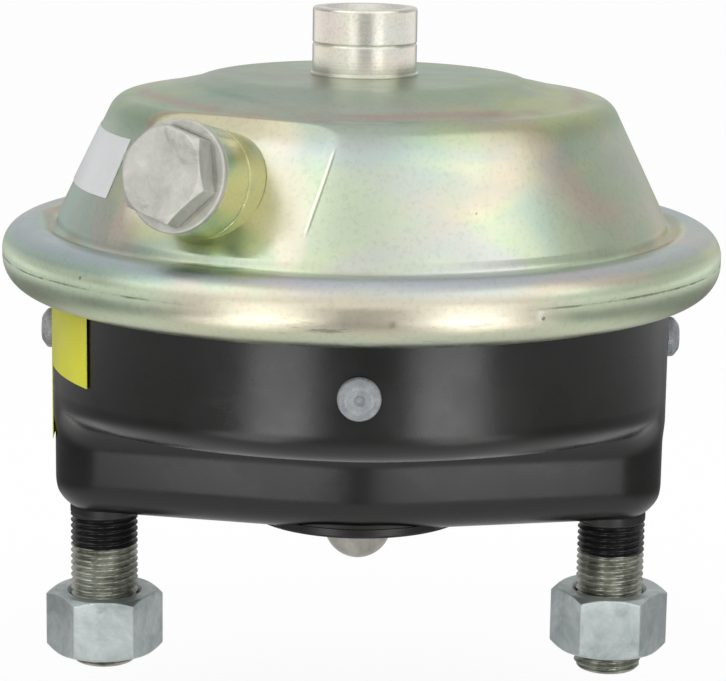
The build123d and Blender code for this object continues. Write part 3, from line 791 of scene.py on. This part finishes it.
def body_skin():
    """Outer and inner surface of the pressed body, its flange, and the neck and groove round the rod."""
    turn = np.linspace(0, 2 * math.pi, COLUMNS, endpoint=False)
    first = math.atan(GROOVE_OUTER / BODY_EYE)
    last = math.pi / 2 + math.atan((FLANGE_TOP - BODY_EYE - 0.05) / FLANGE)
    tilts = even_tilts(first, last, 300)
    rows = list(body_reach(*np.meshgrid(turn, tilts)))
    rows[0] = ring_row(GROOVE_OUTER, 0.0, turn)
    rows.append(ring_row(FLANGE - 1.4, FLANGE_TOP, turn))
    inner_last = math.pi / 2 + math.atan((FLANGE_TOP - BODY_EYE) / (DRUM - BODY_SHEET))
    inner_first = math.atan((NECK_OUTER + 0.1) / (BODY_EYE - BODY_SHEET))
    inner = np.linspace(inner_last, inner_first, 110)
    rows += list(body_reach(*np.meshgrid(turn, inner), inset=BODY_SHEET, flanged=False))
    for radius, height in (
        (NECK_OUTER, BODY_SHEET),
        (NECK_OUTER, NECK_TOP),
        (NECK_INNER, NECK_TOP),
        (NECK_INNER, 0.5),
        (NECK_INNER + 0.5, 0.0),
        (GROOVE_INNER, 0.0),
        (GROOVE_INNER, GROOVE_DEPTH),
        (GROOVE_OUTER, GROOVE_DEPTH),
    ):
        rows.append(ring_row(radius, height, turn))
    points = np.concatenate(rows) * MM
    return add_mesh("body_skin", points, grid_faces(len(rows), COLUMNS), "black_paint", "chamber", "housing")


VENT_Z = 42.5
VENT_HOLE = 3.5
STUD_X = 60.325
STUD_HOLE = 8.1

body = body_skin()
vent_ways = ((0, -1, 0), (1, 0, 0), (0, 1, 0), (-1, 0, 0))
body_holes = [((0, 0, VENT_Z), way, VENT_HOLE, 90) for way in vent_ways]
body_holes += [((side * STUD_X, 0, -3), (0, 0, 1), STUD_HOLE, 8) for side in (-1, 1)]
pierce(body, body_holes)
smooth_shade(body, SKIN_SHARP)


# ---------------------------------------------------------------- studs with their threads
PITCH = 1.5
ROWS_PER_TURN = 10
STUD_COLUMNS = 96
CREST = 7.95
THREAD_DEPTH = 0.92
STUD_END = -38.2
STUD_TOP = [  # radius and height: the head inside the body, the shank, and the collar above the thread
    (0.01, 8.4),
    (8.6, 8.4),
    (8.6, 3.5),
    (7.9, 3.5),
    (7.9, 0.0),
    (8.0, 0.0),
    (8.0, -1.4),
    (CREST, -1.4),
]


def stud(name, centre, node):
    """Stud with a real helical thread that runs out at its top and is chamfered at its end."""
    turn = np.linspace(0, 2 * math.pi, STUD_COLUMNS, endpoint=False)

    def level(radius, height):
        return np.full(STUD_COLUMNS, radius), np.full(STUD_COLUMNS, height)

    rows = [level(radius, height) for radius, height in STUD_TOP]
    top = STUD_TOP[-1][1]
    count = int((top - STUD_END) / PITCH * ROWS_PER_TURN)
    for k in range(1, count + 1):
        height = top + (STUD_END - top) * k / count
        phase = (height / PITCH - turn / (2 * math.pi)) % 1
        cut = THREAD_DEPTH * np.clip((1 - np.abs(2 * phase - 1)) * 1.3 - 0.12, 0, 1)
        fade = min((top - height) / PITCH, 1)
        end = max(0, 1.0 - (height - STUD_END))
        radius = np.minimum(CREST - cut * fade, CREST - THREAD_DEPTH * end)
        rows.append((radius, np.full(STUD_COLUMNS, height)))
    rows.append(level(CREST - THREAD_DEPTH - 0.3, STUD_END - 0.15))
    rows.append(level(0.01, STUD_END - 0.15))
    points = [
        np.stack((centre + radius * np.cos(turn), radius * np.sin(turn), height), 1) * MM
        for radius, height in rows
    ]
    faces = grid_faces(len(rows), STUD_COLUMNS, False)
    faces.append(tuple(range(STUD_COLUMNS)))
    obj = add_mesh(name, np.concatenate(points), faces, "stud_steel", "chamber", node)
    smooth_shade(obj, 50)


for side, label in ((-1, "left"), (1, "right")):
    stud("stud_rod_" + label, side * STUD_X, "stud_" + label)


# ---------------------------------------------------------------- soft pieces that follow the rod
def soft_copy(node, body=None):
    """A copy of a CAD piece that may change shape as the rod moves."""
    obj = bpy.data.objects.new(node + "_soft", nodes[node].data.copy())
    bpy.context.scene.collection.objects.link(obj)
    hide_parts(node)
    if body:
        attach(obj, body)
    return obj


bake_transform(soft_copy("diaphragm"))
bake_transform(soft_copy("bellows"))
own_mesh(soft_copy("return_spring", "chamber"))


# ---------------------------------------------------------------- stage and light
FLOOR_Z = -69.8  # just under the rod's ball at full stroke
FLOOR_SIZE = 12
FLOOR_GREY = 0.22
FLOOR_GLOW = 0.78
CAMERA_GLOW = 0.03  # more glow where the camera looks straight at the floor


def stage_material():
    """Pale floor that takes shadows; a glow seen by the camera and in gloss carries it to white."""
    t, made = material("stage_white")
    diffuse = t.node("ShaderNodeBsdfDiffuse")
    diffuse.inputs[0].default_value = (FLOOR_GREY, FLOOR_GREY, FLOOR_GREY, 1)
    rays = t.node("ShaderNodeLightPath").outputs
    camera_ray = rays["Is Camera Ray"]
    seen = t.math("MAXIMUM", camera_ray, rays["Is Glossy Ray"])
    seen = t.math("MAXIMUM", seen, rays["Is Transmission Ray"])
    reach = t.vector("LENGTH", t.point)
    near = t.between(reach, 0.26, 0.13, 0.05, 0.8)
    aside = t.math("DIVIDE", t.math("ABSOLUTE", t.split(t.point)[0]), reach)
    far = t.math("ADD", t.between(reach, 0.4, 0.8, 0.0, 0.5), t.between(reach, 0.87, 1.05, 0.0, 0.5))
    far = t.math("MULTIPLY", far, t.between(aside, 0.3, 0.7, 0.15, 1.0))
    share = t.math("MAXIMUM", camera_ray, t.math("MULTIPLY", seen, t.math("ADD", near, far)))
    glow = t.node("ShaderNodeEmission")
    strength = t.math("MULTIPLY_ADD", camera_ray, CAMERA_GLOW, FLOOR_GLOW)
    t.put(glow.inputs[1], t.math("MULTIPLY", share, strength))
    both = t.node("ShaderNodeAddShader")
    t.put(both.inputs[0], diffuse.outputs[0])
    t.put(both.inputs[1], glow.outputs[0])
    t.put(t.node("ShaderNodeOutputMaterial").inputs[0], both.outputs[0])
    return made


bpy.ops.mesh.primitive_plane_add(size=FLOOR_SIZE, location=(0, 0, FLOOR_Z * MM))
studio_floor = bpy.context.object
studio_floor.name = "studio_floor"
studio_floor.data.materials.append(stage_material())


def area(name, azimuth, elevation, distance, size, radiance, target=(0, 0, 40)):
    """Soft box that faces its target; azimuth from the front towards +X, distance and size in metres."""
    data = bpy.data.lights.new(name, "AREA")
    data.shape = "RECTANGLE"
    data.size, data.size_y = size
    data.energy = radiance * math.pi * size[0] * size[1]
    obj = bpy.data.objects.new(name, data)
    a, e = math.radians(azimuth), math.radians(elevation)
    away = Vector((math.sin(a) * math.cos(e), -math.cos(a) * math.cos(e), math.sin(e)))
    obj.location = Vector(target) * MM + away * distance
    obj.rotation_euler = away.to_track_quat("Z", "Y").to_euler()
    obj.visible_camera = False
    bpy.context.scene.collection.objects.link(obj)


# Strips give the upright highlights of the drum and bead; cards lie level and face up, for the pod's walls.
for name, azimuth, width, side in (("left", -24, 0.091, -1), ("right", 27.7, 0.1, 1)):
    area("strip_low_" + name, azimuth, 0, 0.25, (width, 0.05), 4.0, (0, 0, -13))
    area("strip_high_" + name, azimuth, 0, 0.25, (width, 0.08), 1.2, (0, 0, 52))
    area("card_" + name, 0, -90, 0, (0.09, 0.09), 2.0, (side * 109, -171, -37.5))
area("box_left", -38, 38, 0.6, (0.3, 0.42), 0.65)
area("box_far_left", -66, 38, 0.6, (0.26, 0.36), 0.8)
area("box_right", 36, 38, 0.6, (0.3, 0.42), 0.5)
area("box_far_right", 64, 38, 0.6, (0.26, 0.36), 0.8)

# The room that gloss and light meet
FRONT = (1.15, 1.15, 1.15)
SIDE = (0.34, 0.34, 0.34)
BACK = (0.72, 0.72, 0.72)
TOP = (1.0, 1.0, 1.0)
WHITE = (1.0, 1.0, 1.0)


def studio_world():
    """White for the camera; elsewhere a room, brightest in front and above."""
    world = bpy.data.worlds.new("studio")
    bpy.context.scene.world = world
    t = Tree(world)
    along, up = t.split(t.point.node.outputs["Generated"])[1:3]
    ends = t.mix(t.math("LESS_THAN", along, 0.0), BACK, FRONT)
    room = t.mix(t.math("ABSOLUTE", along), SIDE, ends)
    room = t.mix(t.math("POWER", up, 3.0), room, TOP)
    camera_ray = t.node("ShaderNodeLightPath").outputs["Is Camera Ray"]
    sky = t.node("ShaderNodeBackground")
    t.put(sky.inputs[0], t.mix(camera_ray, room, WHITE))
    t.put(t.node("ShaderNodeOutputWorld").inputs[0], sky.outputs[0])


studio_world()
